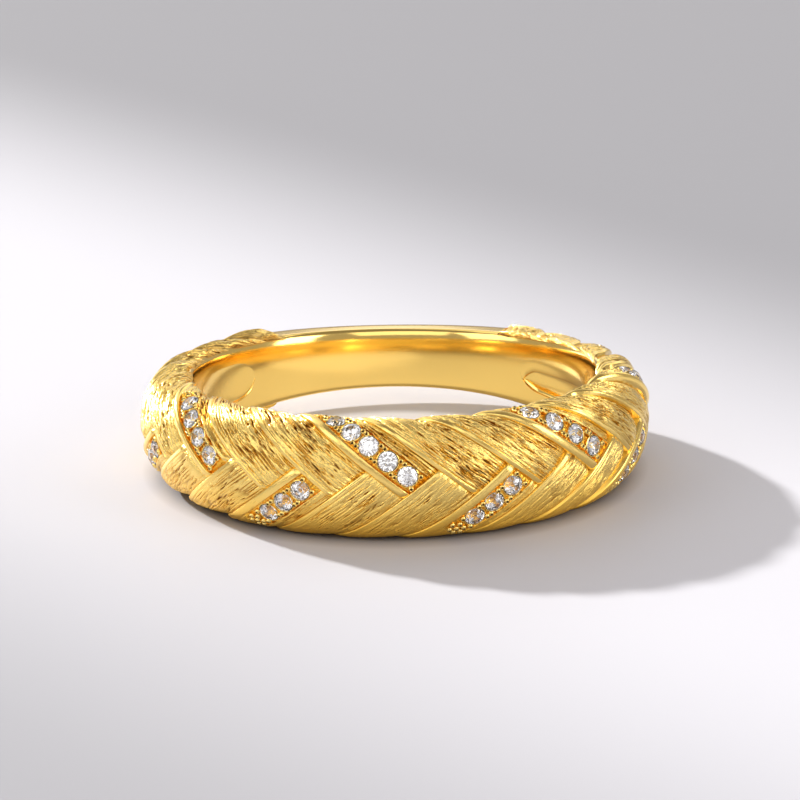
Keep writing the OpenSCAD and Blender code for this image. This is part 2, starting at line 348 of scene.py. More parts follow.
@dataclass(frozen=True)
class Graph:
    """The nodes of a material or of the world, with short ways to add to them."""

    nodes: bpy.types.Nodes
    links: bpy.types.NodeLinks

    @classmethod
    def of(cls, owner: bpy.types.Material | bpy.types.World) -> "Graph":
        """The graph of a new material or world."""
        owner.use_nodes = True
        return cls(owner.node_tree.nodes, owner.node_tree.links)

    def place(self, kind: str = "Object") -> Socket:
        """Adds the place on the piece, in its own coordinates unless kind names others."""
        return self.nodes.new("ShaderNodeTexCoord").outputs[kind]

    def attribute(self, name: str, output: str) -> Socket:
        """Adds one of the piece's own attributes.

        Args:
            name: Its name.
            output: Name of the wanted output.

        Returns:
            Socket with its value.
        """
        source = self.nodes.new("ShaderNodeAttribute")
        source.attribute_name = name
        return source.outputs[output]

    def part(self, vector: Socket, axis: str) -> Socket:
        """Adds one coordinate of a vector.

        Args:
            vector: Socket with the vector.
            axis: Letter of the coordinate.

        Returns:
            Socket with the coordinate.
        """
        parts = self.nodes.new("ShaderNodeSeparateXYZ")
        self.links.new(vector, parts.inputs["Vector"])
        return parts.outputs[axis]

    def span(self, value: Socket, ends: Pair, results: Pair = (0.0, 1.0), smooth: bool = False) -> Socket:
        """Adds a change between two results.

        Args:
            value: Socket that drives the change.
            ends: Values at which the first and the second result are reached.
            results: The two results.
            smooth: Whether the change eases in and out.

        Returns:
            Socket with the result.
        """
        change = self.nodes.new("ShaderNodeMapRange")
        change.interpolation_type = "SMOOTHSTEP" if smooth else "LINEAR"
        change.inputs["From Min"].default_value, change.inputs["From Max"].default_value = ends
        change.inputs["To Min"].default_value, change.inputs["To Max"].default_value = results
        self.links.new(value, change.inputs["Value"])
        return change.outputs["Result"]

    def reckoned(self, kind: str, operation: str, output: str, values: tuple) -> Socket:
        """Adds a node that reckons with sockets and constants.

        Args:
            kind: Type of the node.
            operation: What it does.
            output: Name of the wanted output.
            values: Its inputs in their order, each a socket or a constant.

        Returns:
            Socket with the result.
        """
        node = self.nodes.new(kind)
        node.operation = operation
        for value, slot in zip(values, node.inputs):
            if isinstance(value, Socket):
                self.links.new(value, slot)
            else:
                slot.default_value = value
        return node.outputs[output]

    def number(self, operation: str, *values: Socket | float) -> Socket:
        """Adds a Math node."""
        return self.reckoned("ShaderNodeMath", operation, "Value", values)

    def vector(self, operation: str, output: str, *values: Socket | Triple) -> Socket:
        """Adds a Vector Math node."""
        return self.reckoned("ShaderNodeVectorMath", operation, output, values)

    def tones(self, value: Socket, stops: list[tuple[float, Colour]]) -> Socket:
        """Adds a colour ramp.

        Args:
            value: Socket that drives the ramp.
            stops: Position and colour of each of its stops.

        Returns:
            Socket with the colour.
        """
        tone = self.nodes.new("ShaderNodeValToRGB")
        elements = tone.color_ramp.elements
        for position, _ in stops[1:-1]:
            elements.new(position)
        for element, (position, colour) in zip(elements, stops):
            element.position = position
            element.color = (*colour, 1)
        self.links.new(value, tone.inputs["Fac"])
        return tone.outputs["Color"]

    def noise(self, coordinates: Socket, scale: list[float], detail: float) -> Socket:
        """Adds a noise.

        Args:
            coordinates: Socket with the place in the noise.
            scale: How much it is drawn together along each axis.
            detail: How many finer layers it has.

        Returns:
            Socket with its value.
        """
        mapping = self.nodes.new("ShaderNodeMapping")
        mapping.inputs["Scale"].default_value = scale
        texture = self.nodes.new("ShaderNodeTexNoise")
        texture.inputs["Scale"].default_value = 1
        texture.inputs["Detail"].default_value = detail
        self.links.new(coordinates, mapping.inputs["Vector"])
        self.links.new(mapping.outputs["Vector"], texture.inputs["Vector"])
        return texture.outputs["Fac"]


@dataclass(frozen=True)
class GoldFinish:
    """One finish of the gold: its colour with painted shade and a painted deeper tone low down, its gloss and
    its fine marks.
    """

    name: str
    colour: Colour
    # Deeper painted reflection tone low on the ring.
    low_colour: Colour
    # Tone of the painted shade in grooves, pits and crevices; pits gives the mark heights whose low points
    # are painted with it.
    painted_shade: Colour
    pits: Pair
    roughness: float
    roughness_spread: float
    patch_mm: float
    marks_mm: Triple
    marks_depth_mm: float
    low_dull: float = 0.0
    attribute: str = ""
    detail: float = 2.0
    patch_detail: float = 2.0

    def material(self) -> bpy.types.Material:
        """Builds the node material: the gloss in patches, the fine marks and the colour, with painted shade
        in grooves and pits.

        Returns:
            The new material.
        """
        made = bpy.data.materials.new(self.name)
        graph = Graph.of(made)
        shader = graph.nodes["Principled BSDF"]
        shader.inputs["Base Color"].default_value = (*self.colour, 1)
        shader.inputs["Metallic"].default_value = 1
        if self.attribute:
            coordinates, unit = graph.attribute(self.attribute, "Vector"), 1.0
        else:
            coordinates, unit = graph.place(), MM
        marks = graph.noise(coordinates, [1 / (size * unit) for size in self.marks_mm], self.detail)
        patches = graph.noise(coordinates, [1 / (self.patch_mm * unit)] * 3, self.patch_detail)
        spread = (self.roughness - self.roughness_spread, self.roughness + self.roughness_spread)
        low = graph.span(graph.part(graph.place(), "Z"), [z * MM for z in LOW])
        gloss = graph.number("MULTIPLY_ADD", low, self.low_dull, graph.span(patches, (0, 1), spread))
        graph.links.new(gloss, shader.inputs["Roughness"])
        bump = graph.nodes.new("ShaderNodeBump")
        bump.inputs["Strength"].default_value = 1
        bump.inputs["Distance"].default_value = self.marks_depth_mm * MM
        graph.links.new(marks, bump.inputs["Height"])
        graph.links.new(bump.outputs["Normal"], shader.inputs["Normal"])
        graph.links.new(self.toned(graph, marks, low), shader.inputs["Base Color"])
        return made

    def toned(self, graph: Graph, marks: Socket, low: Socket) -> Socket:
        """Adds the colour of the faces, with painted shade in the grooves and pits and a deeper painted
        reflection tone low on the ring.

        Args:
            graph: The material's graph.
            marks: Socket with the height of the fine marks.
            low: Socket that rises toward the ring's lower edge.

        Returns:
            Socket with the colour.
        """
        # Painted shade: the low points of the marks and the stored shade attribute darken the colour.
        dark = graph.number("MAXIMUM", graph.span(marks, self.pits), graph.attribute("painted_shade", "Fac"))
        gold = graph.tones(low, [(0, self.colour), (1, self.low_colour)])
        shade = graph.tones(dark, [(0, WHITE), (1, self.painted_shade)])
        return graph.vector("MULTIPLY", "Vector", gold, shade)


@dataclass(frozen=True)
class StoneFinish:
    """Clear cut stone."""

    name: str = "clear_stone"
    ior: float = 2.18
    clearness: float = 1.0
    roughness: float = 0.0

    def material(self) -> bpy.types.Material:
        """Builds the node material.

        Returns:
            The new material.
        """
        made = bpy.data.materials.new(self.name)
        shader = Graph.of(made).nodes["Principled BSDF"]
        shader.inputs["Base Color"].default_value = (*WHITE, 1)
        shader.inputs["Transmission Weight"].default_value = self.clearness
        shader.inputs["IOR"].default_value = self.ior
        shader.inputs["Roughness"].default_value = self.roughness
        return made


GOLD = (0.97, 0.69, 0.205)
# Deeper gold for the painted reflection low on the ring.
DEEP_GOLD = (1.0, 0.62, 0.09)
AMBER_GOLD = (0.92, 0.5, 0.06)
# Tones of painted shade: in the grooves, pits and crevices of the gold, and in the beads' pits.
PAINTED_SHADE_TONE = (0.4, 0.27, 0.14)
PIT_SHADE = (0.1, 0.06, 0.03)
POLISHED = GoldFinish(
    "polished_gold", colour=GOLD, low_colour=GOLD, painted_shade=PAINTED_SHADE_TONE, pits=NO_PITS,
    roughness=0.13, roughness_spread=0.03, patch_mm=1.2, marks_mm=(0.5, 0.5, 0.06), marks_depth_mm=0.0006)
SATIN = GoldFinish(
    "satin_gold", colour=GOLD, low_colour=DEEP_GOLD, painted_shade=PAINTED_SHADE_TONE, pits=(0.32, 0.18), low_dull=0.2,
    roughness=0.22, roughness_spread=0.05, patch_mm=0.5, marks_mm=(0.8, 0.04, 1), marks_depth_mm=0.011,
    attribute="lay")
BRUSHED = GoldFinish(
    "brushed_gold", colour=GOLD, low_colour=DEEP_GOLD, painted_shade=PAINTED_SHADE_TONE, pits=(0.36, 0.22), low_dull=0.2,
    roughness=0.24, roughness_spread=0.05, patch_mm=0.3, marks_mm=(0.11, 0.035, 1), marks_depth_mm=0.024,
    attribute="lay", detail=3.0)
FLOOR_GOLD = GoldFinish(
    "pave_floor_gold", colour=AMBER_GOLD, low_colour=AMBER_GOLD, painted_shade=PAINTED_SHADE_TONE, pits=(0.42, 0.3),
    roughness=0.2, roughness_spread=0.05, patch_mm=0.2, marks_mm=(0.09, 0.09, 1), marks_depth_mm=0.04,
    attribute="lay")
BEAD_GOLD = GoldFinish(
    "bead_gold", colour=GOLD, low_colour=GOLD, painted_shade=PIT_SHADE, pits=NO_PITS,
    roughness=0.07, roughness_spread=0.01, patch_mm=1.2, marks_mm=(1, 1, 1), marks_depth_mm=0.0)


def deselect() -> None:
    """Leaves object mode with nothing selected."""
    if bpy.context.object and bpy.context.object.mode != "OBJECT":
        bpy.ops.object.mode_set(mode="OBJECT")
    bpy.ops.object.select_all(action="DESELECT")


def only(piece: bpy.types.Object) -> None:
    """Makes piece the only selected and the active object.

    Args:
        piece: The piece.
    """
    deselect()
    piece.select_set(True)
    bpy.context.view_layer.objects.active = piece


def smooth(piece: bpy.types.Object, angle: float) -> None:
    """Points the faces outward and shades them smooth.

    Args:
        piece: The piece.
        angle: Edges that turn by more degrees than this stay sharp.
    """
    only(piece)
    bpy.ops.object.mode_set(mode="EDIT")
    bpy.ops.mesh.select_all(action="SELECT")
    bpy.ops.mesh.normals_make_consistent(inside=False)
    bpy.ops.object.mode_set(mode="OBJECT")
    bpy.ops.object.shade_smooth_by_angle(angle=math.radians(angle))


def points_of(mesh: bpy.types.Mesh) -> np.ndarray:
    """The mesh's points, a row each.

    Args:
        mesh: The mesh.

    Returns:
        Their places, in the mesh's unit.
    """
    flat = np.empty(len(mesh.vertices) * 3)
    mesh.vertices.foreach_get("co", flat)
    return flat.reshape(-1, 3)


def set_points(mesh: bpy.types.Mesh, points: np.ndarray) -> None:
    """Moves the mesh's points."""
    mesh.vertices.foreach_set("co", points.reshape(-1))
    mesh.update()


def duplicate(piece: bpy.types.Object, name: str) -> bpy.types.Object:
    """Copies a piece with its mesh.

    Args:
        piece: The piece.
        name: Name of the copy.

    Returns:
        The copy.
    """
    copy = piece.copy()
    copy.data = piece.data.copy()
    copy.name = name
    copy.data.name = name
    bpy.context.scene.collection.objects.link(copy)
    return copy


def rolled(name: str, points: np.ndarray, dark: np.ndarray | None = None) -> bpy.types.Object:
    """Rolls a grid up along both its ways into a closed skin.

    Args:
        name: Name of the new piece.
        points: Places of the grid's points in metres, by column and row.
        dark: The share of painted shade at each of them, if there is any.

    Returns:
        The piece, with its seams joined.
    """
    columns, rows = points.shape[:2]
    deselect()
    bpy.ops.mesh.primitive_grid_add(x_subdivisions=columns, y_subdivisions=rows, size=2)
    piece = bpy.context.object
    piece.name = piece.data.name = name
    flat = points_of(piece.data)
    column = np.rint((flat[:, 0] + 1) / 2 * columns).astype(int) % columns
    row = np.rint((flat[:, 1] + 1) / 2 * rows).astype(int) % rows
    set_points(piece.data, points[column, row])
    if dark is not None:
        painted_shade = piece.data.attributes.new("painted_shade", "FLOAT", "POINT")
        painted_shade.data.foreach_set("value", dark[column, row])
    bpy.ops.object.mode_set(mode="EDIT")
    bpy.ops.mesh.select_all(action="SELECT")
    bpy.ops.mesh.remove_doubles(threshold=SEAM_GAP * MM)
    bpy.ops.object.mode_set(mode="OBJECT")
    return piece


def joined(name: str, pieces: list[bpy.types.Object]) -> bpy.types.Object:
    """Joins pieces into one.

    Args:
        name: Name of the joined piece.
        pieces: The pieces.

    Returns:
        The joined piece.
    """
    only(pieces[0])
    for piece in pieces:
        piece.select_set(True)
    bpy.ops.object.join()
    pieces[0].name = pieces[0].data.name = name
    return pieces[0]


def ride_as(piece: bpy.types.Object) -> None:
    """The piece moves with the part."""
    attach(piece, BODY)


@dataclass
class PolishedBody:
    """The ring's polished body: the shank, the inner wall, the hollow, and the bed of the braid."""

    shape: BandShape
    ledge_w: float = 0.85
    hollow_h: float = 0.9
    hollow_left: float = 133.0
    hollow_right: float = 138.5
    hollow_nose: float = 1.2
    nose_depth: float = 0.06
    nose_run: float = 16.0
    soft_turn: float = 2.2
    least_share: float = 0.04
    pool_low: float = -0.98
    pool_rise: float = 1.1
    pool_start: float = 0.18
    pool_nose: float = 0.8
    pool_turn: Pair = (60.0, 30.0)
    pool_share: float = 0.4
    pool_step: float = 0.05
    pool_depth: float = 0.16
    # Painted shade: the shore_ sizes paint a dark line along the upper edge of the pool.
    shore_w: float = 0.08
    shore_off: float = 0.4
    shore_dark: float = 0.7
    shore_start: float = 0.25
    shore_run: float = 3.0
    lean: float = 0.14
    lean_turn: Pair = (90.0, 40.0)
    bed_h: float = 0.62
    upper_rim: float = 117.0
    lower_rim: float = 90.0
    rim_run: float = 14.0
    bed_ends: Pair = (-143.5, 146.0)
    bed_fade: float = 1.2
    column_step: float = 0.9
    fine_step: float = 0.18
    fine_half: float = 5.0
    crown_rows: int = 73
    crown_reach: float = 144.0
    ledge_rows: int = 6
    hollow_rows: int = 31
    sharp: float = 60.0

    def columns(self) -> np.ndarray:
        """Angles of the columns, closer together at the hollow's ends.

        Returns:
            The angles in rising order.
        """
        coarse = np.arange(-180, 180, self.column_step)
        fine = np.arange(-self.fine_half, self.fine_half, self.fine_step)
        noses = [-self.hollow_left, self.hollow_right]
        kept = [a for a in coarse if min(abs(a - nose) for nose in noses) > self.fine_half]
        return np.sort(np.concatenate([kept, *[fine + nose for nose in noses]]))

    def bed(self, theta: np.ndarray, psi: np.ndarray) -> np.ndarray:
        """How deep the body lies under the braid.

        Args:
            theta: Angle round the ring.
            psi: Angle over the section.

        Returns:
            The depth at each place.
        """
        start_fade = ramp((theta - self.bed_ends[0]) / self.bed_fade)
        end_fade = ramp((self.bed_ends[1] - theta) / self.bed_fade)
        start = np.where(psi > 0, self.upper_rim, self.lower_rim)
        rim = 1 - ramp((np.abs(psi) - start) / self.rim_run)
        return self.bed_h * (start_fade * end_fade) * rim

    def past_nose(self, theta: np.ndarray) -> np.ndarray:
        """How far a place lies inside the hollow, along the wall from its nearer end."""
        end = np.where(theta < 0, self.hollow_left, self.hollow_right)
        return (end - np.abs(theta)) * math.pi * self.shape.bore_r / 180

    def ease(self, theta: np.ndarray, z: np.ndarray) -> np.ndarray:
        """How far the wall leans back toward its upper edge, behind the sides."""
        share = np.clip(z / self.shape.half_w(theta), 0, None)
        return self.lean * self.shape.behind(theta) * share ** 2

    def outside(self, column: np.ndarray) -> tuple[np.ndarray, np.ndarray]:
        """Distance from the axis and height of the rows over the outside of the section.

        Args:
            column: Angle of each column.

        Returns:
            The distances and the heights, by column and row.
        """
        psi = np.linspace(-self.crown_reach, self.crown_reach, self.crown_rows)[None, :] + 0 * column
        r, z, out_r, out_z = self.shape.even_section(column, psi)
        sink = self.bed(column, psi)
        outer_r, outer_z = r - sink * out_r, z - sink * out_z
        return outer_r + self.ease(column, outer_z) * rise(psi, *self.lean_turn), outer_z

    def hollow(self, column: np.ndarray, past: np.ndarray, share: np.ndarray) -> tuple[np.ndarray, ...]:
        """The rows across the hollow, with the pool in the lower half of its right end.

        Args:
            column: Angle of each column.
            past: How far the column lies past the hollow's end.
            share: Share of the hollow's full width there.

        Returns:
            Height of each row as a share of half the hollow, its depth, and the painted shade along the
            pool's upper edge.
        """
        turn = np.linspace(0, math.pi, self.hollow_rows)[None, :]
        deep = rise(column, *self.pool_turn)
        pool_past = np.clip((past - self.pool_start) / self.pool_nose, 0, 1)
        pool_top = self.pool_low + self.pool_rise * np.sqrt(1 - (1 - pool_past) ** 2)
        split = (1 - pool_top) / 2
        pooled = np.clip((turn / math.pi - self.pool_share) / (1 - self.pool_share), 0, 1)
        above = 1 - 2 * split * np.clip(turn / math.pi / (self.pool_share - self.pool_step), 0, 1)
        level = np.where(pooled > 0, pool_top - (1 + pool_top) * (1 - np.cos(pooled * math.pi)) / 2, above)
        level = np.cos(turn) + (level - np.cos(turn)) * deep
        sunk = np.where(past > 0, self.nose_depth + (1 - self.nose_depth) * ramp(past / self.nose_run), 0)
        depth = self.hollow_h * np.sqrt(1 - level ** 2) * ramp(turn / self.soft_turn) * sunk * share
        bowl = (np.clip(pooled / self.pool_step, 0, 1) + np.sin(pooled * math.pi)) / 2
        depth += self.pool_depth * share * deep * bowl * (pooled < 1)
        shore = (turn / math.pi - self.pool_share) / self.shore_w
        ahead = ramp(pool_past / self.shore_start) * (1 - rise(past, self.shore_run, self.shore_run))
        # Painted shade along the pool's upper edge.
        dark = self.shore_dark * deep * ahead * np.exp(-(shore + self.shore_off) ** 2)
        return level, depth, dark

    def skin(self, theta: np.ndarray) -> tuple[np.ndarray, np.ndarray]:
        """Rows of points across the whole section.

        Args:
            theta: Angle of each column.

        Returns:
            Places in metres, by column and row, and the share of painted shade there.
        """
        column = theta[:, None]
        outer_r, outer_z = self.outside(column)
        past = self.past_nose(column)
        share = np.sqrt(1 - (1 - np.clip(past / self.hollow_nose, 0, 1)) ** 2)
        half = (self.shape.half_w(column) - self.ledge_w) * np.maximum(self.least_share, share)
        level, depth, shore = self.hollow(column, past, share)
        steps = (np.arange(self.ledge_rows) + 1)[None, :] / (self.ledge_rows + 1)
        top_z = outer_z[:, -1:] + (half - outer_z[:, -1:]) * steps
        low_z = -half + (outer_z[:, :1] + half) * steps
        inner_z = np.concatenate([top_z, half * level, low_z], axis=1)
        inner_r = self.shape.wall_r(column, inner_z) + self.ease(column, inner_z)
        hollow_rows = slice(self.ledge_rows, self.ledge_rows + self.hollow_rows)
        inner_r[:, hollow_rows] += depth
        inner_dark = np.zeros_like(inner_z)
        inner_dark[:, hollow_rows] = shore
        all_r = np.concatenate([outer_r, inner_r], axis=1)
        all_z = np.concatenate([outer_z, inner_z], axis=1)
        dark = np.concatenate([np.zeros_like(outer_z), inner_dark], axis=1)
        return self.shape.place(column, all_r, all_z), dark

    def build(self) -> bpy.types.Object:
        """Rolls a grid up into the body, joins its seams and gives it its finish.

        Returns:
            The body.
        """
        body = rolled("polished_body", *self.skin(self.columns()))
        smooth(body, self.sharp)
        body.data.materials.append(POLISHED.material())
        return body


@dataclass(frozen=True)
class Setting:
    """The stones of one strand: where they stand along it and how far the beads run on."""

    group: int
    row: Row
    strand: int
    stones: int
    start: float
    pitch: float
    tail: float

    @property
    def spots(self) -> list[float]:
        """Distances of the stones along the plait."""
        return [self.start + i * self.pitch for i in range(self.stones)]

    @property
    def floor_end(self) -> float:
        """Where the sunken floor ends, along the plait."""
        return self.spots[-1] + self.tail

    @property
    def name(self) -> str:
        """Row and number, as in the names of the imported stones."""
        return f"{self.row.name.lower()}_{self.group}"


SETTINGS = (
    Setting(group=1, row=Row.LOWER, strand=-9, stones=3, start=0.45, pitch=1.03, tail=1.3),
    Setting(group=2, row=Row.UPPER, strand=-6, stones=4, start=0.54, pitch=1.071, tail=0.9),
    Setting(group=3, row=Row.LOWER, strand=-3, stones=3, start=0.45, pitch=1.03, tail=1.3),
    Setting(group=4, row=Row.UPPER, strand=0, stones=5, start=0.45, pitch=1.03, tail=0.9),
    Setting(group=5, row=Row.LOWER, strand=3, stones=3, start=0.45, pitch=1.03, tail=1.3),
    Setting(group=6, row=Row.UPPER, strand=6, stones=4, start=0.63, pitch=1.195, tail=0.9),
    Setting(group=7, row=Row.LOWER, strand=9, stones=3, start=0.45, pitch=1.03, tail=1.3),
    Setting(group=8, row=Row.UPPER, strand=12, stones=4, start=0.54, pitch=1.071, tail=0.9),
)


@dataclass(frozen=True)
class Places:
    """Places on the plait of a strand: along and across it, round the ring and over the section."""

    strand: int
    row: Row
    along: np.ndarray
    across: np.ndarray
    theta: np.ndarray
    phi: np.ndarray


@dataclass
class Brushing:
    """The brushed hairlines of the plaits and a few deeper scratches."""

    wave: Strokes = Strokes(along=1.3, across=0.7)
    fine: Strokes = Strokes(along=1.2, across=0.06, layer=0.3)
    crinkle: Strokes = Strokes(along=0.25, across=0.1, layer=0.4)
    coarse: Strokes = Strokes(along=1.8, across=0.2, layer=0.6)
    patch: Strokes = Strokes(along=0.9, across=0.5, layer=0.8)
    wave_h: float = 0.06
    hairline_h: float = 0.006
    painted_shade_h: float = 0.07
    painted_shade_w: float = 0.27
    patch_mean: float = 0.75
    patch_spread: float = 0.6
    patch_least: float = 0.2
    lower_bold: float = 0.9
    low_calm: float = 0.88
    low_turn: Pair = (40.0, 35.0)
    front_turn: Pair = (30.0, 40.0)
    ridge_bold: float = 0.6
    ridge_turn: Pair = (45.0, 25.0)
    back_bold: float = 0.25
    back_turn: Pair = (95.0, 30.0)
    scratches: int = 90
    scratch_along: Pair = (0.3, 5.5)
    scratch_inset: float = 0.1
    scratch_length: Pair = (0.06, 0.24)
    scratch_width: Pair = (0.015, 0.03)
    scratch_depth: Pair = (0.03, 0.1)
    scratch_skew: float = 0.12
    first_layer: int = 40
    grain: Grain = field(default_factory=Grain)

    def boldness(self, at: Places) -> np.ndarray:
        """How bold the lines are: calm low on the front, bolder on the ridge and toward the back.

        Args:
            at: Places on the plait.

        Returns:
            The factor on the depth of the lines at each place.
        """
        low = rise(-at.phi, *self.low_turn) * (1 - rise(np.abs(at.theta), *self.front_turn))
        bold = (1.0 if at.row is Row.UPPER else self.lower_bold) * (1 - self.low_calm * low)
        ridge, back = rise(at.phi, *self.ridge_turn), rise(at.theta, *self.back_turn)
        return bold * (1 + self.ridge_bold * ridge + self.back_bold * back)

    def height(self, at: Places, face: Pair) -> np.ndarray:
        """Height of the hairlines and the scratches, mostly below zero.

        Args:
            at: Places on the plait.
            face: Where the face starts and ends across the plait.

        Returns:
            The height at each place.
        """
        along, across, bold = at.along, at.across, self.boldness(at)
        layer = at.strand + self.first_layer
        waved = across + self.wave_h * self.grain.field(along, across, self.wave, layer)
        fine = self.grain.field(along, waved, self.fine, layer)
        crinkle = self.grain.field(along, waved, self.crinkle, layer)
        fine += (crinkle - fine) * rise(at.theta, *self.back_turn)
        patch = self.patch_mean + self.patch_spread * self.grain.field(along, across, self.patch, layer)
        patch = np.clip(patch, self.patch_least, None)
        height = -self.painted_shade_h * bold * patch * np.exp(-(fine / self.painted_shade_w) ** 2)
        height += self.hairline_h * self.grain.field(along, waved, self.coarse, layer)
        draw = np.random.default_rng(SCRATCH_SEED + layer)
        first = (self.scratch_along[0], face[0] + self.scratch_inset)
        last = (self.scratch_along[1], face[1] - self.scratch_inset)
        least, most = zip(self.scratch_length, self.scratch_width, self.scratch_depth)
        for _ in range(self.scratches):
            middle = draw.uniform(first, last)
            length, width, depth = draw.uniform(least, most)
            skew = draw.uniform(-self.scratch_skew, self.scratch_skew)
            off_along = (along - middle[0]) / length
            off_across = (waved - middle[1] - skew * (along - middle[0])) / width
            height -= bold * depth * np.exp(-off_across ** 2) * np.clip(1 - off_along ** 2, 0, 1)
        return height


@dataclass
class Braid:
    """The raised plaits of the three strands."""

    shape: BandShape
    settings: tuple[Setting, ...]
    first_strand: int = -19
    strand_count: int = 40
    bevel_w: float = 0.35
    plain_bevel_w: float = 0.2
    bevel_fall: float = 0.07
    set_bulge: float = 0.04
    set_lift: float = 0.1
    lift_turn: Pair = (50.0, 30.0)
    plain_bulge: float = 0.006
    bevel_lines: float = 0.3
    bevel_lines_run: float = 0.1
    face_lines_run: float = 0.08
    # Painted shade in the crevice behind a plait, on the left-back slopes and in the brushed grooves.
    seam_w: float = 0.06
    left_dark: float = 0.75
    left_dark_turn: Pair = (0.45, 0.4)
    left_turn: Pair = (95.0, 20.0)
    back_pale: float = 0.7
    pale_turn: Pair = (100.0, 20.0)
    painted_shade_from: float = 0.03
    painted_shade_full: float = 0.085
    edge_fall: float = 0.03
    edge_w: float = 0.05
    step_w: float = 0.03
    dive_front: float = 0.15
    dive_side: float = 0.38
    dive_power: float = 1.6
    side_turn: Pair = (30.0, 50.0)
    left_dive: float = 0.4
    right_dive: float = 0.4
    right_turn: Pair = (10.0, 30.0)
    back_calm: float = 0.55
    back_turn: Pair = (90.0, 30.0)
    bulge_front: float = 0.02
    bulge_side: float = 0.1
    left_bulge: float = 0.14
    crown_h: float = 0.03
    crease_h: float = 0.04
    crease_w: float = 0.03
    roll_w: float = 0.3
    roll_h: float = 0.12
    roll_limit: float = 3.0
    tuck: float = 0.3
    under: float = 0.24
    sole_h: float = 0.85
    least_t: float = 0.02
    sole_drop: float = 0.03
    upper_rim: float = 136.0
    lower_rim: float = 97.0
    rim_fall: float = 7.0
    rim_spare: float = 3.0
    rim_calm: float = 0.3
    calm_from: float = 100.0
    end_step: float = 0.15
    step_l: float = 5.0
    left_run: float = 0.9
    edge_columns: tuple[float, ...] = (0.0, 0.012, 0.03, 0.06, 0.1)
    bevel_from: float = 0.13
    bevel_columns: int = 13
    face_step: float = 0.018
    end_rows: tuple[float, ...] = (-0.15, -0.05, 0.0, 0.03, 0.06, 0.1, 0.15, 0.22)
    even_from: float = 0.3
    along_rows: int = 66
    stone_across: float = 0.9
    stone_sink: float = 0.1
    floor_h: float = 0.15
    floor_end: float = 1.4
    floor_slope: float = 0.15
    seat_r: float = 0.45
    seat_h: float = 0.05
    rim_rise: float = 0.05
    rim_w: float = 0.1
    blank_h: float = 1.0
    lay_shift: float = 1.7
    sharp: float = 50.0
    trim_reach: float = 60.0
    brush: Brushing = field(default_factory=Brushing)

    def strands(self) -> range:
        """Numbers of all strands that show."""
        return range(self.first_strand, self.first_strand + self.strand_count)

    def row_of(self, strand: int) -> Row:
        """The row that a strand shows in."""
        return Row.UPPER if strand % 2 == 0 else Row.LOWER

    def rim_of(self, row: Row) -> float:
        """The angle phi at which a row dips into the body."""
        return self.upper_rim if row is Row.UPPER else self.lower_rim

    def setting(self, strand: int) -> Setting | None:
        """The stones of a strand, if it is set with any."""
        return next((made for made in self.settings if made.strand == strand), None)

    def bevel_of(self, strand: int) -> float:
        """Width of a plait's bevel: the set plaits have a broad one."""
        return self.bevel_w if self.setting(strand) else self.plain_bevel_w

    @cached_property
    def columns(self) -> np.ndarray:
        """Distances from the leading edge.

        Returns:
            The distances, closest together at the edge.
        """
        bevel = np.linspace(self.bevel_from, self.bevel_w, self.bevel_columns)
        face = np.arange(self.bevel_w + self.step_w, self.shape.plait_w + self.under, self.face_step)
        return np.concatenate([self.edge_columns, bevel, face])

    @cached_property
    def rows(self) -> np.ndarray:
        """Rows along a plait: below 1 a distance past its end line, then shares of the rest."""
        return np.concatenate([[-self.tuck], self.end_rows, 1 + np.linspace(0, 1, self.along_rows)])

    def from_end(self, gap: float | np.ndarray, across: np.ndarray) -> np.ndarray:
        """Distances along a plait at a gap past its end line."""
        turn = 2 * math.radians(self.shape.plait_slope)
        return (gap - across * math.cos(turn)) / math.sin(turn)

    def lay(self, row: Row) -> tuple[np.ndarray, np.ndarray]:
        """Distances along and across a plait of a row, for each grid point.

        Args:
            row: The row of the braid.

        Returns:
            The distances along and those across.
        """
        slope = math.radians(self.shape.plait_slope)
        rows = self.rows[:, None]
        across = self.columns[None, :] + 0 * rows
        rim = self.shape.arc_of(self.rim_of(row) + self.rim_fall + self.rim_spare)
        reach = rim - row.value * self.shape.midline_rise
        last = (reach + self.shape.tip_rise - across * math.cos(slope)) / math.sin(slope)
        start = self.from_end(self.even_from, across)
        even = start + (last - start) * np.clip(rows - 1, 0, 1)
        return np.where(rows < 1, self.from_end(rows, across), even), across

    def angle_and_arc(self, strand: int, along: np.ndarray, across: np.ndarray) -> tuple[np.ndarray, ...]:
        """Where a place on a plait lies on the band.

        Args:
            strand: Number of the strand.
            along: Distance along the plait.
            across: Distance across the plait, from its leading edge.

        Returns:
            Angle round the ring, and the way over the surface from the crown.
        """
        slope = math.radians(self.shape.plait_slope)
        shift = -along * math.cos(slope) + across * math.sin(slope)
        climb = -self.shape.tip_rise + along * math.sin(slope) + across * math.cos(slope)
        theta = self.shape.first_tip + strand * self.shape.spacing + shift / self.shape.mm_per_deg
        return theta, self.shape.midline_rise + self.row_of(strand).value * climb

    def places(self, strand: int) -> Places:
        """The grid points of a plait.

        Args:
            strand: Number of the strand.

        Returns:
            Their places, by row and column.
        """
        row = self.row_of(strand)
        along, across = self.lay(row)
        theta, arc = self.angle_and_arc(strand, along, across)
        return Places(strand, row, along, across, theta, self.shape.phi_of(arc))

    def brushed(self, at: Places) -> np.ndarray:
        """Height of the brushed lines: full on the face, less on the bevel.

        Args:
            at: Places on the plait.

        Returns:
            The height at each place.
        """
        plain = self.bevel_lines * ramp(at.across / self.bevel_lines_run)
        least = 0.0 if self.setting(at.strand) else plain
        share = least + (1 - least) * rise(at.across, self.bevel_of(at.strand), self.face_lines_run)
        return share * self.brush.height(at, (self.bevel_w, self.shape.plait_w))

